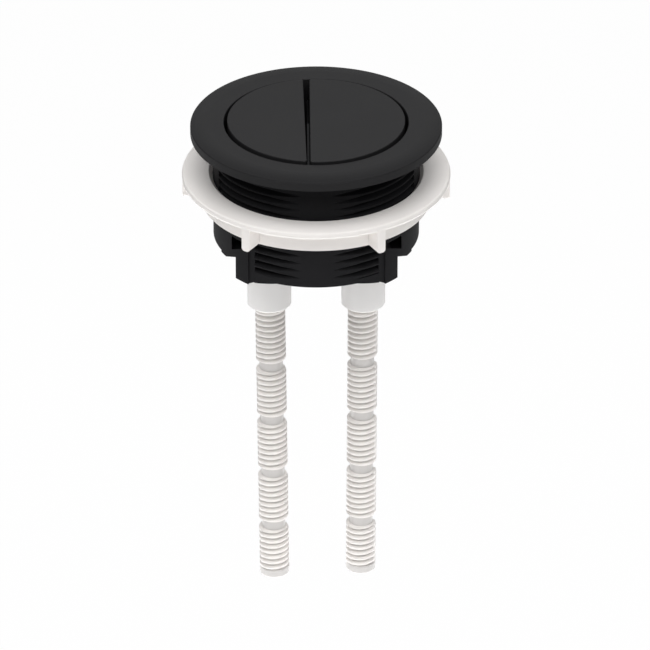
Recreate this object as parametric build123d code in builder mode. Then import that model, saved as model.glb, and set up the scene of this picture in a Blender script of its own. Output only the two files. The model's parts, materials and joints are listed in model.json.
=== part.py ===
"""A dual flush push button for a cistern lid, with its barrel, lock nut, sprung buttons and push rods.

Millimetres, +Z up. The origin is the centre of the lid seat, under the bezel. The small button is at -X,
the large button at +X and the front at -Y. Depths are counted down from the lid seat.
"""
import os
from math import cos, pi, radians, sin, tan
from typing import NamedTuple

from build123d import *

# Bezel
bezel_radius = 30.0
bezel_height = 2.8
bezel_edge_height = 2.1
bezel_roll_width = 4.0
bezel_edge_chamfer = 0.15
bezel_rim_wall = 1.4
opening_radius = 22.0
opening_chamfer = 0.12

# Barrel and its flange
flange_thickness = 1.2
bezel_clearance = 0.1
barrel_wall = 1.1
thread_depth = 1.6
thread_end_depth = 27.6
plain_strip_angle = 8.0
side_pad_angle = 20.0
side_pad_depth = 17.0

# Lower end of the barrel, with its angles counted from the front and back
post_depth = 31.2
post_inner_angle = 41.3
post_outer_angle = 51.4
post_groove_depth = 0.3
front_wall_depth = 28.7
front_ramp_angle = 22.8
front_wall_angle = 37.0
front_corner_depth = 30.15
window_inner = 16.4
window_outer = 20.2
window_back = 8.5
window_front = 18.2
window_height = 3.85
window_sill_depth = 24.25
window_slope_start = 13.8
window_slope = 29.6
window_sill_wall = 1.25
side_notch_depth = window_sill_depth + window_sill_wall
side_ramp_angle = 61.0
side_lobe_angle = 67.0
side_lobe_drop = 1.7
side_lobe_depth = side_notch_depth + side_lobe_drop
side_wall_drop = 1.2
side_wall_depth = side_notch_depth + side_wall_drop

# Partition between the buttons
partition_offset = 1.93
partition_thickness = 0.5
partition_drop = 0.6
partition_back_depth = 3.0
partition_depth = 12.0

# Lock nut
nut_depth = 10.25
nut_clearance = 0.1
nut_height = 6.95
nut_hub_wall = 2.8
nut_flange_radius = 32.1
nut_flange_thickness = 1.6
nut_edge_round = 0.6
nut_edge_steps = 2
nut_bore_chamfer = 0.9
nut_lug_count = 6
nut_lug_thickness = 2.2
nut_lug_round = 0.8
nut_lug_setback = 0.1
nut_lug_drop = 0.25
nut_turn = -1.7

# Button caps
cap_gap = 0.8
cap_proud = 0.4
cap_skin = 1.5
cap_wall = 1.2
cap_skirt_depth = 5.5
cap_edge_chamfer = 0.12
cap_corner_round = 0.6
small_cap_gap = 0.5
large_cap_gap = 0.18
small_cap_turn = 1.0
cap_pad_radius = 6.5
cap_pad_depth = 0.6
cap_stem_radius = 3.2
cap_stem_length = 8.0

# Plungers, which hold the push rods
plunger_offset = 11.35
plunger_radius = 4.9
collar_radius = 5.3
collar_depth = 46.8
collar_chamfer = 0.4
stem_clearance = 0.05
stem_hole_spare = 0.4
socket_top_depth = 18.5

# Guide plate
plate_drop = 0.75
plate_depth = window_sill_depth + plate_drop
plate_thickness = 1.6
plate_clearance = 0.4
guide_clearance = 0.1
guide_wall = 1.4
guide_end_drop = 2.3
guide_end_depth = plate_depth + guide_end_drop
collar_rest_gap = 0.3
hook_angle = 46.3
hook_width = 3.0
hook_thickness = 1.4
hook_reach = 1.4
hook_lip = 0.8
hook_height = 4.2
hook_play = 0.2

# Return springs
spring_length = 12.4
spring_wire = 0.9
spring_play = 0.4
spring_active_turns = 4
spring_closed_turns = 2
spring_sides = 6
spring_steps = 12

# Push rods
rod_radius = 3.65
rod_root_radius = 3.0
rod_play = 0.3
rod_top_depth = 24.0
rod_thread_depth = 34.8
rod_thread_pitch = 1.5
rod_flats = 6
rod_pivot_depth = 30.0
rod_first_neck_depth = 63.3
rod_neck_count = 4
rod_neck_pitch = 15.0
rod_neck_radius = 2.85
rod_neck_length = 2.9
rod_neck_taper = 0.2
rod_tip_length = 14.7
rod_tip_plain = 2.2
rod_tip_chamfer = 0.4
small_rod_lean = 0.6
large_rod_lean = 0.26
large_rod_lift = 1.1

# Sizes that follow from the ones above
bore_radius = opening_radius
root_radius = bore_radius + barrel_wall
crest_radius = root_radius + thread_depth
flange_radius = bezel_radius - bezel_rim_wall - bezel_clearance
cap_radius = opening_radius - cap_gap
cap_top = bezel_height + cap_proud
nut_bore_radius = crest_radius + nut_clearance
nut_hub_radius = nut_bore_radius + nut_hub_wall
guide_bore_radius = plunger_radius + guide_clearance
guide_radius = guide_bore_radius + guide_wall
guide_top_depth = cap_pad_depth + spring_length
plate_radius = bore_radius - plate_clearance
hook_radius = plate_radius + hook_reach
spring_radius = plunger_radius + spring_play + spring_wire / 2
socket_radius = rod_radius + rod_play
side_directions = (0, 180)
face_directions = (90, 270)
beyond = 2 * bezel_radius


class Button(NamedTuple):
    """What differs between the two buttons: side -1 is at -X and side 1 at +X."""

    name: str
    side: int
    gap: float
    turn: float
    rod_lean: float
    rod_lift: float

    @property
    def axis(self) -> float:
        """X of the plunger's axis."""
        return self.side * plunger_offset

    @property
    def chord(self) -> float:
        """X of the straight edge along the partition."""
        return -partition_offset + self.side * (partition_thickness / 2 + self.gap)

    @property
    def chord_group(self) -> int:
        """Place of the straight edge's corners in a list of corners sorted by X."""
        return -1 if self.side < 0 else 0


buttons = [
    Button("small", -1, small_cap_gap, small_cap_turn, small_rod_lean, 0.0),
    Button("large", 1, large_cap_gap, 0.0, large_rod_lean, large_rod_lift),
]


def radial_plane(angle: float) -> Plane:
    """An upright plane through the Z axis: its x runs outwards, angle degrees from +X, its y up."""
    outwards = (cos(radians(angle)), sin(radians(angle)), 0)
    return Plane(origin=(0, 0, 0), x_dir=outwards, z_dir=(outwards[1], -outwards[0], 0))


def facing_plane(angle: float) -> Plane:
    """An upright plane through the Z axis that faces outwards, angle degrees from +X: its y runs up."""
    outwards = (cos(radians(angle)), sin(radians(angle)), 0)
    return Plane(origin=(0, 0, 0), x_dir=(-outwards[1], outwards[0], 0), z_dir=outwards)


def corner_angles(angle: float) -> list[float]:
    """The four directions that stand angle degrees off the front and back, counted from +X."""
    return [90 - angle, 90 + angle, 270 - angle, 270 + angle]


def ring_sector(inner: float, outer: float, middle: float, half_angle: float) -> Sketch:
    """A piece of a flat ring that reaches half_angle degrees to each side of the middle direction."""
    with BuildSketch() as sector:
        with BuildLine():
            inside = CenterArc((0, 0), inner, middle - half_angle, 2 * half_angle)
            outside = CenterArc((0, 0), outer, middle - half_angle, 2 * half_angle)
            Line(inside @ 0, outside @ 0)
            Line(inside @ 1, outside @ 1)
        make_face()
    return sector.sketch


def quarter_round(x: float, y: float, start: float) -> list[tuple[float, float]]:
    """Corners of the lock nut's edge rounding about (x, y), a quarter turn on from start degrees."""
    turns = [radians(start + 90 * step / nut_edge_steps) for step in range(nut_edge_steps + 1)]
    return [(x + nut_edge_round * cos(turn), y + nut_edge_round * sin(turn)) for turn in turns]


def thread_ridges(top: float, bottom: float) -> list[tuple[float, float]]:
    """Radii and heights down a push rod's thread, as whole ridges about a thread pitch apart."""
    count = round((top - bottom) / rod_thread_pitch)
    step = (top - bottom) / count
    outline = [(rod_radius, top)]
    for ridge in range(count):
        outline.append((rod_root_radius, top - (ridge + 0.5) * step))
        outline.append((rod_radius, top - (ridge + 1) * step))
    return outline


def cap_outline(button: Button, inset: float) -> Sketch:
    """A cap's D shape, seen from the plunger's axis and drawn in from its edge by the inset."""
    with BuildSketch() as outline:
        with Locations((-button.axis, 0)):
            Circle(cap_radius - inset)
        with Locations((button.chord + button.side * inset - button.axis, 0)):
            edge_side = Align.MAX if button.side < 0 else Align.MIN
            Rectangle(beyond, beyond, align=(edge_side, Align.CENTER), mode=Mode.INTERSECT)
    return outline.sketch


os.makedirs("parts", exist_ok=True)

# Bezel: a trim ring with a gently rolled top, which sits over the barrel's flange
with BuildPart() as bezel:
    with BuildSketch(Plane.XZ) as bezel_section:
        with BuildLine():
            lip = Line((opening_radius, flange_thickness), (opening_radius, bezel_height))
            top = Line(lip @ 1, (bezel_radius - bezel_roll_width, bezel_height))
            roll = TangentArc(top @ 1, (bezel_radius, bezel_edge_height), tangent=top % 1)
            rim = Line(roll @ 1, (bezel_radius, 0))
            foot = Line(rim @ 1, (bezel_radius - bezel_rim_wall, 0))
            recess = Line(foot @ 1, (bezel_radius - bezel_rim_wall, flange_thickness))
            Line(recess @ 1, lip @ 0)
        make_face()
        chamfer(bezel_section.vertices().group_by(Axis.X)[-1].sort_by(Axis.Y)[-1], bezel_edge_chamfer)
        chamfer(bezel_section.vertices().group_by(Axis.X)[0].sort_by(Axis.Y)[-1], opening_chamfer)
    revolve(axis=Axis.Z)
bezel.part.label = "bezel"
export_step(bezel.part, "parts/bezel.step")

# Barrel: a flanged tube with plain strips between its threaded panels, and posts and windows low down
with BuildPart() as barrel:
    with BuildSketch():
        Circle(root_radius)
    extrude(amount=-post_depth)
    with BuildSketch():
        for middle in side_directions:
            add(ring_sector(bore_radius, crest_radius, middle, side_pad_angle))
    extrude(amount=-side_pad_depth)
    with BuildSketch(Plane.XY.offset(-side_pad_depth)):
        for middle in side_directions:
            add(ring_sector(bore_radius, crest_radius, middle, 90 - post_inner_angle))
    extrude(amount=side_pad_depth - post_depth)
    with BuildSketch():
        for middle in face_directions:
            add(ring_sector(bore_radius, crest_radius, middle, plain_strip_angle))
    extrude(amount=-thread_end_depth)
    with BuildSketch(Plane.XY.offset(-thread_end_depth)):
        for middle in face_directions:
            add(ring_sector(bore_radius, crest_radius, middle, front_wall_angle))
    extrude(amount=thread_end_depth - post_depth)
    with BuildSketch(Plane.XY.offset(-side_pad_depth)):
        for middle in corner_angles((front_wall_angle + post_inner_angle) / 2):
            groove_half_angle = (post_inner_angle - front_wall_angle) / 2
            add(ring_sector(bore_radius, crest_radius - post_groove_depth, middle, groove_half_angle))
    extrude(amount=side_pad_depth - post_depth)
    with BuildSketch():
        Circle(flange_radius)
    extrude(amount=flange_thickness)
    with BuildSketch(Plane.XY.offset(flange_thickness)):
        Circle(bore_radius)
    extrude(amount=-flange_thickness - post_depth, mode=Mode.SUBTRACT)
    front_edge = [
        (crest_radius * sin(radians(front_ramp_angle)), -front_wall_depth),
        (crest_radius * sin(radians(front_wall_angle)), -front_corner_depth),
        (crest_radius * sin(radians(post_inner_angle)), -post_depth),
    ]
    side_edge = [
        (crest_radius * cos(radians(side_lobe_angle)), -side_wall_depth),
        (crest_radius * cos(radians(side_lobe_angle)), -side_lobe_depth),
        (crest_radius * cos(radians(side_ramp_angle)), -side_lobe_depth),
        (crest_radius * cos(radians(post_outer_angle)), -side_notch_depth),
        (crest_radius * cos(radians(post_outer_angle)), -post_depth),
    ]
    for plane, edge in ((Plane.XZ, front_edge), (Plane.YZ, side_edge)):
        with BuildSketch(plane):
            with BuildLine():
                Polyline(*edge, *[(-across, height) for across, height in reversed(edge)], close=True)
            make_face()
        extrude(amount=beyond, both=True, mode=Mode.SUBTRACT)
    window_top = window_height - window_sill_depth
    slope_rise = (window_front - window_slope_start) * tan(radians(window_slope))
    window_section = [
        (window_back, window_top),
        (window_back, -window_sill_depth),
        (window_slope_start, -window_sill_depth),
        (window_front, slope_rise - window_sill_depth),
        (window_front, window_top),
    ]
    for x_side in (-1, 1):
        with BuildSketch(Plane.YZ.offset(x_side * window_inner)):
            for y_side in (-1, 1):
                with BuildLine():
                    Polyline(*[(y_side * across, height) for across, height in window_section], close=True)
                make_face()
        extrude(amount=x_side * (window_outer - window_inner), mode=Mode.SUBTRACT)
    for direction in corner_angles(hook_angle):
        with BuildSketch(facing_plane(direction).offset(plate_radius)):
            with Locations((0, -window_sill_depth)):
                Rectangle(hook_width + 2 * hook_play, window_height, align=(Align.CENTER, Align.MIN))
        extrude(amount=hook_reach + hook_play, mode=Mode.SUBTRACT)
    for y_side, top in ((Align.MAX, bezel_height - partition_drop), (Align.MIN, -partition_back_depth)):
        with BuildSketch(Plane.XY.offset(-partition_depth)):
            with Locations((-partition_offset, 0)):
                Rectangle(partition_thickness, bore_radius, align=(Align.CENTER, y_side))
            Circle(bore_radius, mode=Mode.INTERSECT)
        extrude(amount=partition_depth + top)
barrel.part.label = "barrel"
export_step(barrel.part, "parts/barrel.step")

# Guide plate: carries the plungers and springs, and hooks into the barrel's windows
with BuildPart() as guide_plate:
    with BuildSketch(Plane.XY.offset(-plate_depth)):
        Circle(plate_radius)
    extrude(amount=-plate_thickness)
    with BuildSketch(Plane.XY.offset(-guide_end_depth)):
        with Locations(*[(button.axis, 0) for button in buttons]):
            Circle(guide_radius)
    extrude(amount=guide_end_depth - guide_top_depth)
    for direction in corner_angles(hook_angle):
        with BuildSketch(radial_plane(direction)):
            with BuildLine():
                Polyline(
                    (plate_radius - hook_thickness, -plate_depth - plate_thickness),
                    (plate_radius, -plate_depth - plate_thickness),
                    (plate_radius, -window_sill_depth),
                    (hook_radius, -window_sill_depth),
                    (hook_radius, hook_lip - window_sill_depth),
                    (plate_radius, hook_height - window_sill_depth),
                    (plate_radius - hook_thickness, hook_height - window_sill_depth),
                    close=True,
                )
            make_face()
        extrude(amount=hook_width / 2, both=True)
    with BuildSketch(Plane.XY.offset(-guide_end_depth)):
        with Locations(*[(button.axis, 0) for button in buttons]):
            Circle(guide_bore_radius)
    extrude(amount=guide_end_depth - guide_top_depth, mode=Mode.SUBTRACT)
guide_plate.part.label = "guide_plate"
export_step(guide_plate.part, "parts/guide_plate.step")

# Lock nut: a wide flange over a short hub, with grip lugs between them
nut_bottom = -nut_depth - nut_height
nut_flange_under = -nut_depth - nut_flange_thickness
nut_edge_middle = nut_flange_radius - nut_edge_round
with BuildPart() as lock_nut:
    with BuildSketch(Plane.XZ):
        with BuildLine():
            Polyline(
                (nut_bore_radius, nut_bottom),
                (nut_hub_radius, nut_bottom),
                (nut_hub_radius, nut_flange_under),
                *quarter_round(nut_edge_middle, nut_flange_under + nut_edge_round, -90),
                *quarter_round(nut_edge_middle, -nut_depth - nut_edge_round, 0),
                (nut_bore_radius + nut_bore_chamfer, -nut_depth),
                (nut_bore_radius, -nut_depth - nut_bore_chamfer),
                close=True,
            )
        make_face()
    revolve(axis=Axis.Z)
    lug_start = (nut_bore_radius + nut_hub_radius) / 2
    lug_height = nut_height + nut_lug_drop - nut_flange_thickness / 2
    for lug in range(nut_lug_count):
        with BuildSketch(facing_plane(nut_turn + lug * 360 / nut_lug_count).offset(lug_start)) as lug_end:
            with Locations((0, nut_bottom - nut_lug_drop)):
                Rectangle(nut_lug_thickness, lug_height, align=(Align.CENTER, Align.MIN))
            fillet(lug_end.vertices().group_by(Axis.Y)[0], nut_lug_round)
        extrude(amount=nut_flange_radius - nut_lug_setback - lug_start)
lock_nut.part.label = "lock_nut"
export_step(lock_nut.part, "parts/lock_nut.step")

for button in buttons:
    # Cap: a D-shaped shell with a pad for the spring and a stem for the plunger
    turn = radians(button.turn)
    axis_point = (button.axis, 0, 0)
    cap_plane = Plane(origin=axis_point, x_dir=(cos(turn), sin(turn), 0), z_dir=(0, 0, 1))
    with BuildPart() as cap:
        with BuildSketch(cap_plane.offset(-cap_skirt_depth)) as cap_edge:
            add(cap_outline(button, 0))
            fillet(cap_edge.vertices().group_by(Axis.X)[button.chord_group], cap_corner_round)
        extrude(amount=cap_skirt_depth + cap_top)
        with BuildSketch(cap_plane.offset(-cap_skirt_depth)):
            add(cap_outline(button, cap_wall))
        extrude(amount=cap_skirt_depth + cap_top - cap_skin, mode=Mode.SUBTRACT)
        chamfer(cap.faces().sort_by(Axis.Z)[-1].edges(), cap_edge_chamfer)
        with BuildSketch(cap_plane.offset(-cap_pad_depth)):
            Circle(cap_pad_radius)
        extrude(amount=cap_pad_depth + cap_top - cap_skin)
        with BuildSketch(cap_plane.offset(-cap_pad_depth)):
            Circle(cap_stem_radius)
        extrude(amount=-cap_stem_length)
    cap.part.label = f"{button.name}_cap"
    export_step(cap.part, f"parts/{button.name}_cap.step")

    # Plunger: slides in the guide plate, with a wider collar below it that takes the push rod
    collar_top = guide_end_depth + collar_rest_gap
    stem_hole = cap_pad_depth + cap_stem_length + stem_hole_spare
    with BuildPart() as plunger:
        with BuildSketch(Plane(origin=axis_point, x_dir=(1, 0, 0), z_dir=(0, -1, 0))):
            with BuildLine():
                Polyline(
                    (0, -stem_hole),
                    (cap_stem_radius + stem_clearance, -stem_hole),
                    (cap_stem_radius + stem_clearance, -cap_pad_depth),
                    (plunger_radius, -cap_pad_depth),
                    (plunger_radius, -collar_top),
                    (collar_radius, -collar_top),
                    (collar_radius, collar_chamfer - collar_depth),
                    (collar_radius - collar_chamfer, -collar_depth),
                    (socket_radius, -collar_depth),
                    (socket_radius, -socket_top_depth),
                    (0, -socket_top_depth),
                    close=True,
                )
            make_face()
        revolve(axis=Axis(axis_point, (0, 0, 1)))
    plunger.part.label = f"{button.name}_plunger"
    export_step(plunger.part, f"parts/{button.name}_plunger.step")

    # Return spring: round wire with closed ends, from the guide tube up to the cap's pad
    wire_rise = spring_wire * cos(pi / spring_sides) / 2
    closed = spring_closed_turns / 2
    active_rise = spring_length - 2 * wire_rise - spring_closed_turns * spring_wire
    turns = spring_active_turns + spring_closed_turns
    with BuildPart() as spring:
        for step in range(turns * spring_steps + 1):
            turn = step / spring_steps
            share = min(max((turn - closed) / spring_active_turns, 0), 1)
            rest = turn - share * spring_active_turns
            height = wire_rise - guide_top_depth + share * active_rise + rest * spring_wire
            around = 2 * pi * turn
            outwards = (cos(around), sin(around), 0)
            centre = (button.axis + spring_radius * outwards[0], spring_radius * outwards[1], height)
            with BuildSketch(Plane(origin=centre, x_dir=outwards, z_dir=(-outwards[1], outwards[0], 0))):
                RegularPolygon(spring_wire / 2, spring_sides)
        loft(ruled=True)
    spring.part.label = f"{button.name}_spring"
    export_step(spring.part, f"parts/{button.name}_spring.step")

    # Push rod: ridged by its thread, waisted at each snap-off neck and a little out of true in its loose socket
    lean = radians(button.rod_lean)
    rod_up = Vector(button.side * sin(lean), 0, cos(lean))
    rod_pivot = (button.axis, 0, button.rod_lift - rod_pivot_depth)
    first_neck = rod_pivot_depth - rod_first_neck_depth
    rod_end = first_neck - (rod_neck_count - 1) * rod_neck_pitch - rod_tip_length
    outline = [(rod_radius, rod_pivot_depth - rod_top_depth)]
    thread_top = rod_pivot_depth - rod_thread_depth
    for neck in range(rod_neck_count):
        neck_top = first_neck - neck * rod_neck_pitch + rod_neck_length / 2
        neck_bottom = neck_top - rod_neck_length
        outline += thread_ridges(thread_top, neck_top)
        outline.append((rod_neck_radius, neck_top - rod_neck_taper))
        outline.append((rod_neck_radius, neck_bottom + rod_neck_taper))
        thread_top = neck_bottom
    outline += thread_ridges(thread_top, rod_end + rod_tip_plain)
    outline.append((rod_radius, rod_end + rod_tip_chamfer))
    outline.append((rod_radius - rod_tip_chamfer, rod_end))
    outline += [(-radius, height) for radius, height in reversed(outline)]
    with BuildPart() as rod:
        for flat in range(rod_flats):
            facing = Vector(0, 1, 0).rotate(Axis((0, 0, 0), rod_up), 180 * flat / rod_flats)
            with BuildSketch(Plane(rod_pivot, x_dir=rod_up.cross(facing), z_dir=facing)):
                with BuildLine():
                    Polyline(*outline, close=True)
                make_face()
            extrude(amount=rod_pivot_depth, both=True, mode=Mode.INTERSECT if flat else Mode.ADD)
    rod.part.label = f"{button.name}_rod"
    export_step(rod.part, f"parts/{button.name}_rod.step")
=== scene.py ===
"""Looks of a dual flush push button: its finishes, threads, push rods and springs, set round the frame.

Metres, +Z up, in the frame's own axes: the lid seat is at z = 0, the front at -Y and the small button at -X.
Azimuths are counted from the front towards +X, which is anticlockwise seen from above.
"""
import json
import logging
from dataclasses import dataclass
from enum import Enum
from typing import Any, Sequence

import bpy
import numpy as np
from mathutils import Matrix, Vector


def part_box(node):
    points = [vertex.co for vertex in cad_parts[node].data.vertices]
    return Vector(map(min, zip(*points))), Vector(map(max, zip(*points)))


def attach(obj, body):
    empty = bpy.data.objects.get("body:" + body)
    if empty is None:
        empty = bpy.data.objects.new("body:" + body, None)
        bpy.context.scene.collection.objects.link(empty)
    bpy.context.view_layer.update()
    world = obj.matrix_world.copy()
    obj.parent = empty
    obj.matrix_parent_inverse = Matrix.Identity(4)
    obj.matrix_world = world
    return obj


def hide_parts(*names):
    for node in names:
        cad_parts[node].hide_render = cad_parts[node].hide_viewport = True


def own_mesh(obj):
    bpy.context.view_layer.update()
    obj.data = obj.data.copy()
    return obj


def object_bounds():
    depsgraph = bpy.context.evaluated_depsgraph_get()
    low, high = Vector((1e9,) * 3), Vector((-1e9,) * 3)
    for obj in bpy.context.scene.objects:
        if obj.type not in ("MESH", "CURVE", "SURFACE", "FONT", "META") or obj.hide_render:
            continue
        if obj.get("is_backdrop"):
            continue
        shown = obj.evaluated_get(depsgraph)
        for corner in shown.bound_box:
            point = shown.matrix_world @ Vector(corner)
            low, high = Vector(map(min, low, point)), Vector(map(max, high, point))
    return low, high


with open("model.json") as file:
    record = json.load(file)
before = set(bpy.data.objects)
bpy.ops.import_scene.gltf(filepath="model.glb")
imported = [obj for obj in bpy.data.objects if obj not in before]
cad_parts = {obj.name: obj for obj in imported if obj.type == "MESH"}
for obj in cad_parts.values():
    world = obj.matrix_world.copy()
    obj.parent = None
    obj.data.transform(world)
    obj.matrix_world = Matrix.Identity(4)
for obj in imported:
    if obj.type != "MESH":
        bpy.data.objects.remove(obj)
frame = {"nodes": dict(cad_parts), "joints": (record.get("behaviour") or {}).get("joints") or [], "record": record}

MM = 0.001
TURN = 2 * np.pi
# Edges that turn by more than this are sharp
CREASE = np.radians(65.0)
# Name of the values on a mesh that give its share of the painted shade colour, which darkens grooves, necks and
# tip
PAINTED_SHADE = "painted_shade"
# Finer layers in the noise of clouds and of grain, and the strength of each layer against the one before
CLOUD_LAYERS = 3.0
GRAIN_LAYERS = 2.0
LAYER_FADE = 0.55
WHITE = (1.0, 1.0, 1.0, 1.0)

Colour = tuple[float, float, float]

log = logging.getLogger("push_button")


class Side(Enum):
    """Which of the two buttons a piece belongs to."""

    SMALL = "small"
    LARGE = "large"


class Body(Enum):
    """Bodies of the frame that pieces ride on."""

    HOUSING = "housing"
    SMALL_ROD = "small_rod"
    LARGE_ROD = "large_rod"


class Slot(Enum):
    """Material slots of the record."""

    MOULDING = "black_moulding"
    ROD = "white_rod"
    WIRE = "spring_wire"


# Surfaces


def smooth_step(value: np.ndarray, low: float, high: float) -> np.ndarray:
    """Ease from 0 at low to 1 at high, with flat ends: t * t * (3 - 2 * t) of the clipped share t.

    Args:
        value: Where to work it out.
        low: Value at which the step starts.
        high: Value at which the step ends.

    Returns:
        The step's height, of the same shape as value.
    """
    share = np.clip((value - low) / (high - low), 0.0, 1.0)
    return share * share * (3.0 - 2.0 * share)


def ridge_height(phase: np.ndarray, valley: float, flank: float) -> np.ndarray:
    """Height of a thread's section, from 0 in its groove to 1 on its crest.

    The distance to the nearest groove, in pitches, runs through a smooth step that starts at half the valley
    and lasts for one flank.

    Args:
        phase: Place along the thread in pitches, whole at each groove.
        valley: Width of the groove's floor, in pitches.
        flank: Width of each flank, in pitches.

    Returns:
        The height, of the same shape as phase.
    """
    distance = np.abs(phase - np.round(phase))
    return smooth_step(distance, valley / 2, valley / 2 + flank)


def mesh_from_grid(
    name: str, grid: np.ndarray, closed_round: bool = False, capped: bool = False
) -> bpy.types.Object:
    """Make a smooth mesh of quads from a grid of points.

    The quad of row i and column j joins points (i, j), (i, j + 1), (i + 1, j + 1) and (i + 1, j), so the
    faces point outwards where the rows go up and the columns go anticlockwise.

    Args:
        name: Name of the piece.
        grid: Points, as rows by columns by 3.
        closed_round: Whether the last column joins the first.
        capped: Whether a fan closes the first and last rows.

    Returns:
        The new object, linked to the scene.
    """
    rows, columns, _ = grid.shape
    place = np.arange(rows * columns).reshape(rows, columns)
    if closed_round:
        place = np.concatenate([place, place[:, :1]], axis=1)
    quads = np.stack([place[:-1, :-1], place[:-1, 1:], place[1:, 1:], place[1:, :-1]], axis=-1)
    quads = quads.reshape(-1, 4)
    points = grid.reshape(-1, 3)
    fans = np.zeros((0, 3), int)
    if capped:
        ends = np.stack([grid[0].mean(axis=0), grid[-1].mean(axis=0)])
        first, last = len(points), len(points) + 1
        points = np.concatenate([points, ends])
        low = np.stack([place[0, 1:], place[0, :-1], np.full(place.shape[1] - 1, first)], axis=-1)
        high = np.stack([place[-1, :-1], place[-1, 1:], np.full(place.shape[1] - 1, last)], axis=-1)
        fans = np.concatenate([low, high])
    mesh = bpy.data.meshes.new(name)
    mesh.vertices.add(len(points))
    mesh.vertices.foreach_set("co", points.astype(np.float32).ravel())
    corners = np.concatenate([quads.ravel(), fans.ravel()])
    totals = np.concatenate([np.full(len(quads), 4), np.full(len(fans), 3)])
    mesh.loops.add(len(corners))
    mesh.loops.foreach_set("vertex_index", corners.astype(np.int32))
    mesh.polygons.add(len(totals))
    mesh.polygons.foreach_set("loop_start", (np.cumsum(totals) - totals).astype(np.int32))
    mesh.polygons.foreach_set("loop_total", totals.astype(np.int32))
    mesh.polygons.foreach_set("use_smooth", np.ones(len(totals), bool))
    mesh.update(calc_edges=True)
    mesh.validate()
    mesh.set_sharp_from_angle(angle=CREASE)
    piece = bpy.data.objects.new(name, mesh)
    bpy.context.scene.collection.objects.link(piece)
    return piece


def settle(piece: bpy.types.Object, body: Body, material: bpy.types.Material) -> None:
    """Dress a new piece and let it ride on its body.

    Args:
        piece: The piece, already in place.
        body: Body that carries it.
        material: Its material.
    """
    piece.data.materials.append(material)
    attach(piece, body.value)
    log.info("%s rides on %s with %d faces", piece.name, body.value, len(piece.data.polygons))


# Shaders


class Term:
    """A socket of a material's nodes that can stand in a Python expression."""

    def __init__(self, graph: "Graph", socket: bpy.types.NodeSocket) -> None:
        """Keep the socket and the graph that it belongs to."""
        self.graph = graph
        self.socket = socket

    def _math(self, operation: str, first: Any, second: Any) -> "Term":
        """Add a Math node for one operation on two values."""
        node = self.graph.node("ShaderNodeMath", {"operation": operation}, {0: first, 1: second})
        return Term(self.graph, node.outputs[0])

    def __add__(self, other: Any) -> "Term":
        """Sum of this and another value."""
        return self._math("ADD", self, other)

    __radd__ = __add__

    def __sub__(self, other: Any) -> "Term":
        """This less another value."""
        return self._math("SUBTRACT", self, other)

    def __rsub__(self, other: Any) -> "Term":
        """Another value less this."""
        return self._math("SUBTRACT", other, self)

    def __mul__(self, other: Any) -> "Term":
        """Product of this and another value."""
        return self._math("MULTIPLY", self, other)

    __rmul__ = __mul__

    def larger(self, other: Any) -> "Term":
        """The larger of this and another value."""
        return self._math("MAXIMUM", self, other)

    def around(self, middle: Any, spread: float) -> "Term":
        """Spread this noise, which runs from 0 to 1, evenly about a middle value."""
        return middle + (self - 0.5) * spread


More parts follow.
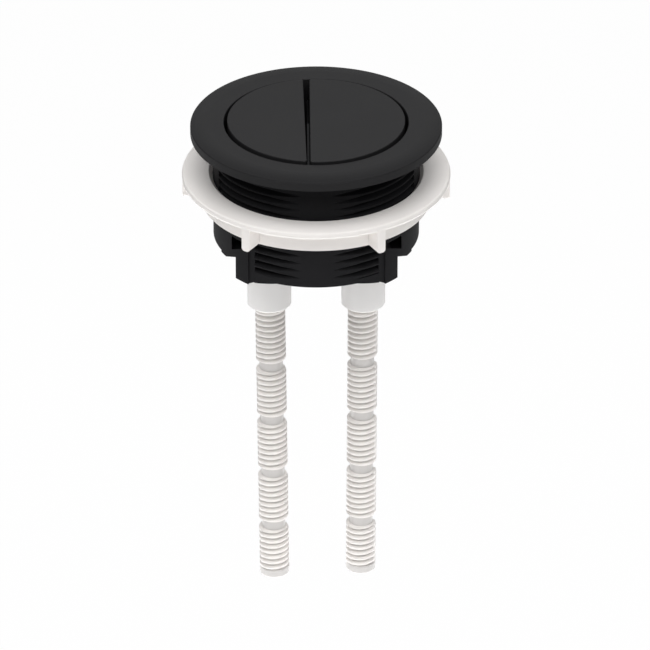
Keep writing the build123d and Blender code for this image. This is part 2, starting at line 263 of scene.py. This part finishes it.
class Graph:
    """The nodes of one material or world."""

    # Numbers of a Mix node's colour sockets, because its sockets for other kinds of value share their names
    MIX_INPUTS = (6, 7)
    MIX_OUTPUT = 2

    def __init__(self, owner: bpy.types.Material | bpy.types.World) -> None:
        """Start without nodes.

        Args:
            owner: Material or world that the nodes belong to.
        """
        self.owner = owner
        self.owner.use_nodes = True
        self.tree = self.owner.node_tree
        self.tree.nodes.clear()

    @classmethod
    def named(cls, name: str) -> "Graph":
        """Start a new material with that name."""
        return cls(bpy.data.materials.new(name))

    def node(self, kind: str, settings: dict[str, Any], sockets: dict[Any, Any]) -> bpy.types.Node:
        """Add a node.

        Args:
            kind: The node's type.
            settings: Its own properties, which are set before its sockets.
            sockets: Values, terms or sockets for its inputs, by name or number.

        Returns:
            The new node.
        """
        node = self.tree.nodes.new(kind)
        for key, value in settings.items():
            setattr(node, key, value)
        for key, value in sockets.items():
            if isinstance(value, Term):
                value = value.socket
            if isinstance(value, bpy.types.NodeSocket):
                self.tree.links.new(value, node.inputs[key])
            else:
                node.inputs[key].default_value = value
        return node

    def term(self, kind: str, settings: dict[str, Any], sockets: dict[Any, Any], output: Any = 0) -> Term:
        """Add a node in the same way and give one of its outputs, by name or number."""
        return Term(self, self.node(kind, settings, sockets).outputs[output])

    def place(self, stretch: Sequence[float] = (1.0, 1.0, 1.0)) -> Term:
        """Object coordinates, stretched by a factor along each axis."""
        own = self.term("ShaderNodeTexCoord", {}, {}, "Object")
        return self.term("ShaderNodeMapping", {"vector_type": "POINT"}, {"Vector": own, "Scale": stretch})

    def noise(self, place: Term, size: float, layers: float = GRAIN_LAYERS) -> Term:
        """Soft noise from 0 to 1, with features of that size in metres and some finer layers."""
        sockets = {"Vector": place, "Scale": 1.0 / size, "Detail": layers, "Roughness": LAYER_FADE}
        return self.term("ShaderNodeTexNoise", {"noise_dimensions": "3D"}, sockets, "Fac")

    def tint(self, first: Colour | Term, second: Colour | Term, share: Term) -> Term:
        """Mix two colours.

        Args:
            first: Colour at share 0.
            second: Colour at share 1.
            share: Where between them.

        Returns:
            The mixed colour.
        """
        pair = [colour if isinstance(colour, Term) else (*colour, 1.0) for colour in (first, second)]
        sockets = {"Factor": share, **dict(zip(self.MIX_INPUTS, pair))}
        return self.term("ShaderNodeMix", {"data_type": "RGBA"}, sockets, self.MIX_OUTPUT)

    def bump(self, relief: Term, height: float) -> Term:
        """Normals of a fine relief from 0 to 1, where 1 stands for that height in metres."""
        sockets = {"Height": relief, "Distance": height, "Strength": 1.0}
        return self.term("ShaderNodeBump", {}, sockets, "Normal")

    def blend(self, share: Term, first: bpy.types.Node, second: bpy.types.Node) -> bpy.types.Node:
        """Mix two shaders, from the first at share 0 to the second at share 1."""
        return self.node("ShaderNodeMixShader", {}, {0: share, 1: first.outputs[0], 2: second.outputs[0]})

    def seen(self) -> tuple[Term, Term]:
        """Tell the eye's rays from the others.

        Returns:
            Whether a ray comes from the eye, straight or through a clear thing, and whether it is reflected.
        """
        path = self.node("ShaderNodeLightPath", {}, {})
        names = ("Is Camera Ray", "Is Transmission Ray", "Is Glossy Ray")
        direct, through, glossy = (Term(self, path.outputs[name]) for name in names)
        return direct.larger(through), glossy

    def surface(self, sockets: dict[str, Any]) -> bpy.types.Material:
        """Finish the material with one shader for its whole surface.

        Args:
            sockets: Values or terms for the shader's inputs, by name.

        Returns:
            The material.
        """
        shader = self.node("ShaderNodeBsdfPrincipled", {}, sockets)
        self.node("ShaderNodeOutputMaterial", {}, {"Surface": shader.outputs[0]})
        return self.owner


@dataclass(frozen=True)
class MattCoating:
    """Fine matt coating with a slightly uneven sheen."""

    name: str = "matt_coating"
    dark: Colour = (0.0138, 0.0137, 0.0145)
    light: Colour = (0.0168, 0.0167, 0.0175)
    roughness: float = 0.50
    unevenness: float = 0.08
    grain: float = 0.16 * MM
    grain_height: float = 0.006 * MM
    cloud: float = 9.0 * MM
    cloud_share: float = 0.7
    specular: float = 0.10

    def material(self) -> bpy.types.Material:
        """Clouds vary the sheen and colour a little, and a fine grain roughens the surface.

        Returns:
            The material.
        """
        graph = Graph.named(self.name)
        place = graph.place()
        cloud = graph.noise(place, self.cloud, CLOUD_LAYERS)
        grain = graph.noise(place, self.grain)
        mottle = cloud * self.cloud_share + grain * (1.0 - self.cloud_share)
        return graph.surface({
            "Base Color": graph.tint(self.dark, self.light, mottle),
            "Roughness": cloud.around(self.roughness, self.unevenness),
            "Specular IOR Level": self.specular,
            "Normal": graph.bump(grain, self.grain_height),
        })


@dataclass(frozen=True)
class BlackMoulding:
    """Black moulded plastic with faint draw lines along its length."""

    name: str = "black_moulding"
    dark: Colour = (0.0135, 0.0135, 0.0147)
    light: Colour = (0.0167, 0.0167, 0.0180)
    roughness: float = 0.50
    unevenness: float = 0.10
    line: float = 0.5 * MM
    line_stretch: float = 0.06
    line_height: float = 0.004 * MM
    line_sheen: float = 0.06
    cloud: float = 6.0 * MM
    specular: float = 0.03

    def material(self) -> bpy.types.Material:
        """Noise drawn out along Z makes the draw lines, and clouds vary the sheen.

        Returns:
            The material.
        """
        graph = Graph.named(self.name)
        cloud = graph.noise(graph.place(), self.cloud, CLOUD_LAYERS)
        lines = graph.noise(graph.place((1.0, 1.0, self.line_stretch)), self.line)
        return graph.surface({
            "Base Color": graph.tint(self.dark, self.light, cloud),
            "Roughness": lines.around(cloud.around(self.roughness, self.unevenness), self.line_sheen),
            "Specular IOR Level": self.specular,
            "Normal": graph.bump(lines, self.line_height),
        })


@dataclass(frozen=True)
class WhiteMoulding:
    """White moulded plastic that lets a little light in, with a darker colour painted as shade where a mesh gives
    a share.
    """

    name: str
    dark: Colour
    light: Colour
    painted_shade: Colour | None = None
    roughness: float = 0.40
    unevenness: float = 0.10
    cloud: float = 7.0 * MM
    grain: float = 0.22 * MM
    grain_height: float = 0.004 * MM
    grain_sheen: float = 0.05
    depth: float = 0.3 * MM
    depth_share: float = 0.12
    specular: float = 0.45

    def material(self) -> bpy.types.Material:
        """Clouds vary the colour and sheen, a fine grain breaks the gloss, and a mesh's painted shade takes the
        darker colour.

        Returns:
            The material.
        """
        graph = Graph.named(self.name)
        place = graph.place()
        cloud = graph.noise(place, self.cloud, CLOUD_LAYERS)
        grain = graph.noise(place, self.grain)
        colour = graph.tint(self.dark, self.light, cloud)
        # Painted shade: where a mesh gives a share, the darker colour is mixed in
        if self.painted_shade:
            share = graph.term("ShaderNodeAttribute", {"attribute_name": PAINTED_SHADE}, {}, "Fac")
            colour = graph.tint(colour, self.painted_shade, share)
        return graph.surface({
            "Base Color": colour,
            "Roughness": grain.around(cloud.around(self.roughness, self.unevenness), self.grain_sheen),
            "Specular IOR Level": self.specular,
            "Subsurface Weight": self.depth_share,
            "Subsurface Radius": (self.depth, self.depth, self.depth),
            "Subsurface Scale": 1.0,
            "Normal": graph.bump(grain, self.grain_height),
        })


@dataclass(frozen=True)
class SpringSteel:
    """Drawn stainless wire with a fine, uneven gloss."""

    name: str = "spring_steel"
    dark: Colour = (0.42, 0.41, 0.39)
    light: Colour = (0.60, 0.59, 0.57)
    roughness: float = 0.28
    unevenness: float = 0.2
    grain: float = 0.3 * MM

    def material(self) -> bpy.types.Material:
        """Fine noise varies the colour and gloss of the drawn wire.

        Returns:
            The material.
        """
        graph = Graph.named(self.name)
        grain = graph.noise(graph.place(), self.grain)
        return graph.surface({
            "Base Color": graph.tint(self.dark, self.light, grain),
            "Metallic": 1.0,
            "Roughness": grain.around(self.roughness, self.unevenness),
        })


NUT_WHITE = WhiteMoulding("white_nut", dark=(0.83, 0.80, 0.775), light=(0.89, 0.86, 0.835))
# The collars' warm white, made paler than their own colour as painted light
COLLAR_WHITE_AND_PAINTED_LIGHT = WhiteMoulding("warm_white_and_painted_light", dark=(0.89, 0.875, 0.865), light=(0.93, 0.915, 0.90))
# The rods' white, with a darker colour for painted shade in their grooves, necks and tip
ROD_WHITE = WhiteMoulding(
    "rod_white", dark=(0.83, 0.80, 0.775), light=(0.89, 0.86, 0.83), painted_shade=(0.61, 0.59, 0.575)
)


# Pieces


@dataclass(frozen=True)
class ThreadPanel:
    """One threaded panel of the barrel, between a plain strip and a pad or post."""

    name: str
    near_deg: float
    far_deg: float
    top: float
    bottom: float


@dataclass
class BarrelThread:
    """Right-hand thread on the barrel's panels, whose grooves run out towards the plain strips.

    The valley and the flank are parts of a pitch. The lift keeps the grooves clear of the barrel's wall, and
    the panels' borders are buried in it. A groove starts at the run-out's angle from a strip's middle and has
    its whole depth from the full one.
    """

    root: float = 23.1 * MM
    crest: float = 24.71 * MM
    lift: float = 0.03 * MM
    bury: float = 0.2 * MM
    pitch: float = 2.0 * MM
    groove_height: float = -0.20 * MM
    valley: float = 0.10
    flank: float = 0.36
    strip_deg: float = 8.0
    run_out_deg: float = 9.0
    full_deg: float = 26.0
    upper_far_deg: float = 69.9
    lower_far_deg: float = 37.0
    upper_top: float = -0.02 * MM
    upper_bottom: float = -17.0 * MM
    lower_bottom: float = -27.6 * MM
    step_across_deg: float = 0.6
    step_down: float = 0.1 * MM

    def panels(self) -> list[ThreadPanel]:
        """List an upper and a lower panel on each side of the front and back strips.

        Returns:
            The panels.
        """
        rows = (
            ("upper", self.upper_far_deg, self.upper_top, self.upper_bottom),
            ("lower", self.lower_far_deg, self.upper_bottom, self.lower_bottom),
        )
        return [
            ThreadPanel(
                name=f"thread_{row}_{face}_{side}",
                near_deg=middle + sign * self.strip_deg,
                far_deg=middle + sign * far,
                top=top,
                bottom=bottom,
            )
            for face, middle in (("front", 0.0), ("back", 180.0))
            for side, sign in (("left", -1.0), ("right", 1.0))
            for row, far, top, bottom in rows
        ]

    def radius(self, azimuth: np.ndarray, height: np.ndarray) -> np.ndarray:
        """Distance of the thread's surface from the barrel's axis.

        The crest less the thread's depth times the groove's depth, where the groove's phase is the height
        above a groove, less one pitch for each turn, in pitches. A groove's depth is 1 less the ridge's
        height, and towards the strips it is cut off from above more and more, so that it narrows to a point.

        Args:
            azimuth: Azimuths in radians.
            height: Heights.

        Returns:
            The radius at each point.
        """
        phase = (height - self.groove_height) / self.pitch - azimuth / TURN
        groove = 1.0 - ridge_height(phase, self.valley, self.flank)
        off_strip = np.degrees(np.arcsin(np.abs(np.sin(azimuth))))
        kept = np.clip((off_strip - self.run_out_deg) / (self.full_deg - self.run_out_deg), 0.0, 1.0)
        return self.crest - (self.crest - self.root - self.lift) * np.maximum(groove + kept - 1.0, 0.0)

    def build(self, material: bpy.types.Material) -> None:
        """Make each panel as a skin over the barrel, with its border tucked into the barrel's wall.

        Args:
            material: Finish of the barrel.
        """
        for panel in self.panels():
            low, high = sorted((panel.near_deg, panel.far_deg))
            columns = int((high - low) / self.step_across_deg) + 1
            rows = int((panel.top - panel.bottom) / self.step_down) + 1
            azimuth = np.radians(np.linspace(low, high, columns))
            height = np.linspace(panel.bottom, panel.top, rows)
            azimuth = np.concatenate([azimuth[:1], azimuth, azimuth[-1:]])
            height = np.concatenate([height[:1], height, height[-1:]])
            azimuths, heights = np.meshgrid(azimuth, height)
            radius = np.full(azimuths.shape, self.root - self.bury)
            radius[1:-1, 1:-1] = self.radius(azimuths, heights)[1:-1, 1:-1]
            grid = np.stack([radius * np.sin(azimuths), -radius * np.cos(azimuths), heights], axis=-1)
            settle(mesh_from_grid(panel.name, grid), Body.HOUSING, material)


@dataclass
class PushRod:
    """Threaded push rod with snap-off necks, mould strips that fill its grooves at the sides and a plain tip.

    The valley and the flank are parts of a pitch, and the shades are shares of the painted shade colour, which
    darkens the grooves, necks and tip. The strip is the radius to which the grooves are filled, and its angle
    turns both strips away from the sides.
    """

    side: Side
    body: Body
    groove_height: float
    strip: float
    strip_deg: float
    length: float = 99.0 * MM
    crest: float = 3.65 * MM
    root: float = 2.86 * MM
    pitch: float = 1.5 * MM
    valley: float = 0.20
    flank: float = 0.22
    strip_half_deg: float = 18.0
    strip_fade_deg: float = 7.0
    tip_plain: float = 2.2 * MM
    tip_edge: float = 0.1 * MM
    tip_chamfer: float = 0.4 * MM
    first_neck: float = 14.7 * MM
    neck_pitch: float = 15.0 * MM
    neck_count: int = 4
    neck_radius: float = 2.85 * MM
    neck_length: float = 2.6 * MM
    neck_taper: float = 0.2 * MM
    # Painted shade: shares of the darker colour in the grooves and on the plain tip
    painted_groove_shade: float = 0.45
    painted_tip_shade: float = 1.0
    step_along: float = 0.125 * MM
    steps_round: int = 96

    def axis(self) -> tuple[np.ndarray, np.ndarray]:
        """Find the rod's line from the record's mount at its tip.

        Returns:
            The centre of the tip and the upward direction.
        """
        mounts = {mount["name"]: mount for mount in frame["record"]["mounts"]}
        tip = mounts[f"{self.side.value}_rod_tip"]
        return np.array(tip["pos_m"]), -np.array(tip["axis"])

    def radius(self, azimuth: np.ndarray, along: np.ndarray) -> np.ndarray:
        """Distance of the surface from the rod's axis.

        The root plus the thread's depth times the ridge's height, where the ridge's phase is the distance
        from a groove, less one pitch for each turn, in pitches. The strips fill the grooves up to their own
        radius, the plain tip and its chamfer take the place of the ridges, and the necks limit the radius.

        Args:
            azimuth: Azimuths in radians.
            along: Distances from the tip.

        Returns:
            The radius at each point.
        """
        phase = (along - self.groove_height - self.pitch * azimuth / TURN) / self.pitch
        threaded = self.root + (self.crest - self.root) * ridge_height(phase, self.valley, self.flank)
        turned = azimuth - np.radians(self.strip_deg)
        off_strip = np.degrees(np.arcsin(np.abs(np.cos(turned))))
        ridged = smooth_step(off_strip, self.strip_half_deg, self.strip_half_deg + self.strip_fade_deg)
        filled = np.maximum(threaded, self.strip)
        radius = filled + (threaded - filled) * ridged
        radius = self.crest + (radius - self.crest) * self.past_tip(along)
        radius = np.minimum(radius, self.crest - self.tip_chamfer + along)
        rise = (self.crest - self.neck_radius) / self.neck_taper
        return np.minimum(radius, self.neck_radius + rise * np.maximum(self.from_neck(along), 0.0))

    def past_tip(self, along: np.ndarray) -> np.ndarray:
        """Ease from 0 on the plain tip to 1 above it, over an edge's length on each side of its end."""
        return smooth_step(along, self.tip_plain - self.tip_edge, self.tip_plain + self.tip_edge)

    def from_neck(self, along: np.ndarray) -> np.ndarray:
        """Distance from the nearest neck's end, below 0 within the neck."""
        neck = np.round((along - self.first_neck) / self.neck_pitch).clip(0, self.neck_count - 1)
        return np.abs(along - self.first_neck - neck * self.neck_pitch) - self.neck_length / 2

    def painted_shade_shares(self, radius: np.ndarray, along: np.ndarray) -> np.ndarray:
        """Share of the painted shade colour, which darkens the rod's grooves, necks and tip.

        The depth below the crest as a part of the thread's, times 1 in the necks, 0 on their tapers and the
        grooves' painted shade elsewhere. The plain tip and its middle have a painted shade of their own.

        Args:
            radius: Radius at each point.
            along: Distances from the tip.

        Returns:
            The share at each point and at the two ends' middle points.
        """
        # Painted shade: deeper points and the necks take more of the darker colour, the tapers none, the tip its
        # own share
        depth = np.clip((self.crest - radius) / (self.crest - self.root), 0.0, 1.0)
        past_neck = self.from_neck(along)
        within = [past_neck < -self.neck_taper, past_neck < self.neck_taper]
        shaded = depth * np.select(within, [1.0, 0.0], self.painted_groove_shade)
        share = self.painted_tip_shade + (shaded - self.painted_tip_shade) * self.past_tip(along)
        return np.append(share.ravel(), (self.painted_tip_shade, 0.0))

    def build(self, material: bpy.types.Material) -> None:
        """Carry the rod's section along its axis and let it stand for the rod's solid.

        Args:
            material: Finish of the rod.
        """
        tip, up = self.axis()
        front = np.array([0.0, -1.0, 0.0])
        right = np.cross(up, front)
        along = np.arange(0.0, self.length + self.step_along / 2, self.step_along)
        azimuth = np.linspace(0.0, TURN, self.steps_round, endpoint=False)
        azimuths, distances = np.meshgrid(azimuth, along)
        radius = self.radius(azimuths, distances)
        outwards = np.sin(azimuths)[..., None] * right + np.cos(azimuths)[..., None] * front
        grid = tip + distances[..., None] * up + radius[..., None] * outwards
        piece = mesh_from_grid(f"{self.side.value}_push_rod", grid, closed_round=True, capped=True)
        # Painted shade: each point's share of the rod's darker colour
        painted_shade = piece.data.attributes.new(PAINTED_SHADE, "FLOAT", "POINT")
        painted_shade.data.foreach_set("value", self.painted_shade_shares(radius, distances).astype(np.float32))
        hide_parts(f"{self.side.value}_rod")
        settle(piece, self.body, material)


@dataclass
class ReturnSpring:
    """Round-wire return spring with closed ends."""

    side: Side
    wire: float = 0.9 * MM
    active_turns: float = 4.0
    closed_turns: float = 2.0
    steps_a_turn: int = 48
    steps_round_wire: int = 14

    def build(self, material: bpy.types.Material) -> None:
        """Carry a circle along a helix whose rise is one wire a turn at its ends and even between them.

        Args:
            material: Finish of the wire.
        """
        node = f"{self.side.value}_spring"
        low, high = (np.array(corner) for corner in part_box(node))
        centre = (low + high) / 2
        coil = (high[0] - low[0]) / 2 - self.wire / 2
        turns = self.active_turns + self.closed_turns
        turn = np.linspace(0.0, turns, int(turns * self.steps_a_turn) + 1)
        share = np.clip((turn - self.closed_turns / 2) / self.active_turns, 0.0, 1.0)
        active_rise = high[2] - low[2] - self.wire - self.closed_turns * self.wire
        height = low[2] + self.wire / 2 + share * active_rise + (turn - share * self.active_turns) * self.wire
        around = np.linspace(0.0, TURN, self.steps_round_wire, endpoint=False)
        outwards = coil + self.wire / 2 * np.cos(around)
        grid = np.stack([
            centre[0] + np.cos(TURN * turn)[:, None] * outwards,
            centre[1] + np.sin(TURN * turn)[:, None] * outwards,
            height[:, None] - self.wire / 2 * np.sin(around),
        ], axis=-1)
        piece = mesh_from_grid(f"{self.side.value}_return_spring", grid, closed_round=True, capped=True)
        press = next(joint for joint in frame["joints"] if joint["name"] == f"{self.side.value}_button_press")
        free = high[2] - low[2]
        keep = (free - max(press["range_m"])) / free
        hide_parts(node)
        settle(piece, Body.HOUSING, material)
        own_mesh(piece)


@dataclass
class Solids:
    """The frame's own solids that stay in view, with the finish of each."""

    finishes: dict[str, bpy.types.Material]

    def dress(self) -> None:
        """Give each solid its material."""
        for node, material in self.finishes.items():
            mesh = frame["nodes"][node].data
            mesh.materials.clear()
            mesh.materials.append(material)
            log.info("%s is finished in %s", node, material.name)


# Setting


@dataclass
class Viewpoint:
    """Camera that looks down on the front, as far away as a long lens needs."""

    distance: float = 1500.0 * MM
    depression_deg: float = 29.625
    turn_deg: float = -0.45
    aim: tuple[float, float, float] = (2.106 * MM, 0.0, -52.942 * MM)
    focal_px: float = 6187.5
    image_px: float = 650.0
    sensor_mm: float = 36.0
    clip: tuple[float, float] = (0.01, 20.0)

    def build(self) -> None:
        """Place the camera on the line back from its aim and turn it about the object's axis."""
        down = np.radians(self.depression_deg)
        ahead = Vector((0.0, np.cos(down), -np.sin(down)))
        turn = Matrix.Rotation(np.radians(self.turn_deg), 4, "Z")
        data = bpy.data.cameras.new("camera")
        data.sensor_width = self.sensor_mm
        data.lens = self.focal_px / self.image_px * self.sensor_mm
        data.clip_start, data.clip_end = self.clip
        camera = bpy.data.objects.new("camera", data)
        camera.location = turn @ (Vector(self.aim) - ahead * self.distance)
        camera.rotation_mode = "QUATERNION"
        camera.rotation_quaternion = (turn.to_3x3() @ ahead).to_track_quat("-Z", "Y")
        bpy.context.scene.collection.objects.link(camera)
        bpy.context.scene.camera = camera


@dataclass(frozen=True)
class SoftLight:
    """A square soft light that faces the object, with its sizes in metres and its power in watts."""

    name: str
    azimuth_deg: float
    height_deg: float
    distance: float
    width: float
    power: float
    shift: float = 0.0

    def build(self, target: Vector) -> None:
        """Hang the light round the target, both moved outwards by the shift.

        Args:
            target: Middle of the object.
        """
        azimuth, height = np.radians(self.azimuth_deg), np.radians(self.height_deg)
        outwards = Vector((np.sin(azimuth), -np.cos(azimuth), 0.0))
        away = outwards * np.cos(height) + Vector((0.0, 0.0, np.sin(height)))
        data = bpy.data.lights.new(self.name, "AREA")
        data.shape = "SQUARE"
        data.size = self.width
        data.energy = self.power
        lamp = bpy.data.objects.new(self.name, data)
        lamp.location = target + outwards * self.shift + away * self.distance
        lamp.rotation_mode = "QUATERNION"
        lamp.rotation_quaternion = (-away).to_track_quat("-Z", "Y")
        lamp.visible_camera = False
        bpy.context.scene.collection.objects.link(lamp)


@dataclass
class Studio:
    """Pale floor, even surroundings and soft lights.

    The floor's colour is a painted pool of light, which goes from its near to its far colour between the pool's
    two distances from the object's axis.
    """

    floor_drop: float = 140.0 * MM
    floor_half: float = 2.5
    # Painted pool of light on the floor: paler near the object and darker far from it
    floor_near: Colour = (0.75, 0.75, 0.75)
    floor_far: Colour = (0.25, 0.25, 0.25)
    floor_painted_light_pool: tuple[float, float] = (0.30, 0.60)
    floor_white: float = 0.985
    floor_sheen: float = 0.35
    surroundings: float = 0.22
    lights: tuple[SoftLight, ...] = (
        SoftLight("main", azimuth_deg=0.0, height_deg=66.0, distance=1.2, width=1.1, power=14.2),
        SoftLight("front", azimuth_deg=-12.0, height_deg=16.0, distance=1.5, width=1.4, power=0.6),
        SoftLight("back", azimuth_deg=180.0, height_deg=34.0, distance=1.5, width=1.2, power=3.8),
        SoftLight("left", azimuth_deg=-90.0, height_deg=35.0, distance=1.5, width=1.0, power=2.6),
        SoftLight("right", azimuth_deg=90.0, height_deg=35.0, distance=1.5, width=1.0, power=2.0),
        SoftLight(
            "table", azimuth_deg=-20.0, height_deg=-90.0, distance=0.20, width=0.6, power=1.95, shift=0.05
        ),
    )

    def floor_material(self) -> bpy.types.Material:
        """White to the eye and partly so in reflections, a painted pool of light to other rays, and clear from
        below.

        Returns:
            The material.
        """
        graph = Graph.named("floor")
        direct, glossy = graph.seen()
        factor = direct.larger(glossy * self.floor_sheen) * self.floor_white
        across = graph.place((1.0, 1.0, 0.0))
        away = graph.term("ShaderNodeVectorMath", {"operation": "LENGTH"}, {0: across}, "Value")
        # Painted pool of light: the floor's colour fades from near to far with distance from the axis
        pool = {"Value": away, "From Min": self.floor_painted_light_pool[0], "From Max": self.floor_painted_light_pool[1]}
        share = graph.term("ShaderNodeMapRange", {"interpolation_type": "SMOOTHSTEP"}, pool)
        colour = graph.tint(self.floor_near, self.floor_far, share)
        pale = graph.node("ShaderNodeBsdfDiffuse", {}, {"Color": colour})
        white = graph.node("ShaderNodeEmission", {}, {"Color": WHITE, "Strength": 1.0})
        clear = graph.node("ShaderNodeBsdfTransparent", {}, {})
        below = graph.term("ShaderNodeNewGeometry", {}, {}, "Backfacing")
        mixed = graph.blend(below, graph.blend(factor, pale, white), clear)
        graph.node("ShaderNodeOutputMaterial", {}, {"Surface": mixed.outputs[0]})
        return graph.owner

    def world(self) -> bpy.types.World:
        """Even surroundings that are white to the eye.

        Returns:
            The world.
        """
        graph = Graph(bpy.data.worlds.new("surroundings"))
        plain, white = (
            graph.node("ShaderNodeBackground", {}, {"Color": WHITE, "Strength": strength})
            for strength in (self.surroundings, self.floor_white)
        )
        mixed = graph.blend(graph.seen()[0], plain, white)
        graph.node("ShaderNodeOutputWorld", {}, {"Surface": mixed.outputs[0]})
        return graph.owner

    def build(self, low: Vector, high: Vector) -> None:
        """Lay the floor below the object and hang the lights.

        Args:
            low: Lowest corner of the object.
            high: Highest corner of the object.
        """
        reach = np.linspace(-self.floor_half, self.floor_half, 2)
        across, deep = np.meshgrid(reach, reach)
        grid = np.stack([across, deep, np.full(across.shape, low.z - self.floor_drop)], axis=-1)
        floor = mesh_from_grid("floor", grid)
        floor.data.materials.append(self.floor_material())
        floor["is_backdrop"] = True
        for light in self.lights:
            light.build((low + high) / 2)
        bpy.context.scene.world = self.world()


def main() -> None:
    """Build the pieces in order, dress the solids and set the studio."""
    logging.basicConfig(level=logging.INFO, format="%(name)s: %(message)s")
    cad_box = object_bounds()
    bpy.context.scene.view_settings.view_transform = "Standard"
    coating = MattCoating().material()
    moulding = BlackMoulding().material()
    nut = NUT_WHITE.material()
    collar = COLLAR_WHITE_AND_PAINTED_LIGHT.material()
    rod = ROD_WHITE.material()
    steel = SpringSteel().material()
    Solids({
        "bezel": coating, "small_cap": coating, "large_cap": coating,
        "barrel": moulding, "guide_plate": moulding,
        "lock_nut": nut, "small_plunger": collar, "large_plunger": collar,
    }).dress()
    BarrelThread().build(moulding)
    PushRod(Side.SMALL, Body.SMALL_ROD, groove_height=0.65 * MM, strip=3.38 * MM, strip_deg=5.0).build(rod)
    PushRod(Side.LARGE, Body.LARGE_ROD, groove_height=0.60 * MM, strip=3.52 * MM, strip_deg=-8.0).build(rod)
    for side in Side:
        ReturnSpring(side).build(steel)
    Viewpoint().build()
    Studio().build(*cad_box)


if __name__ == "__main__":
    main()
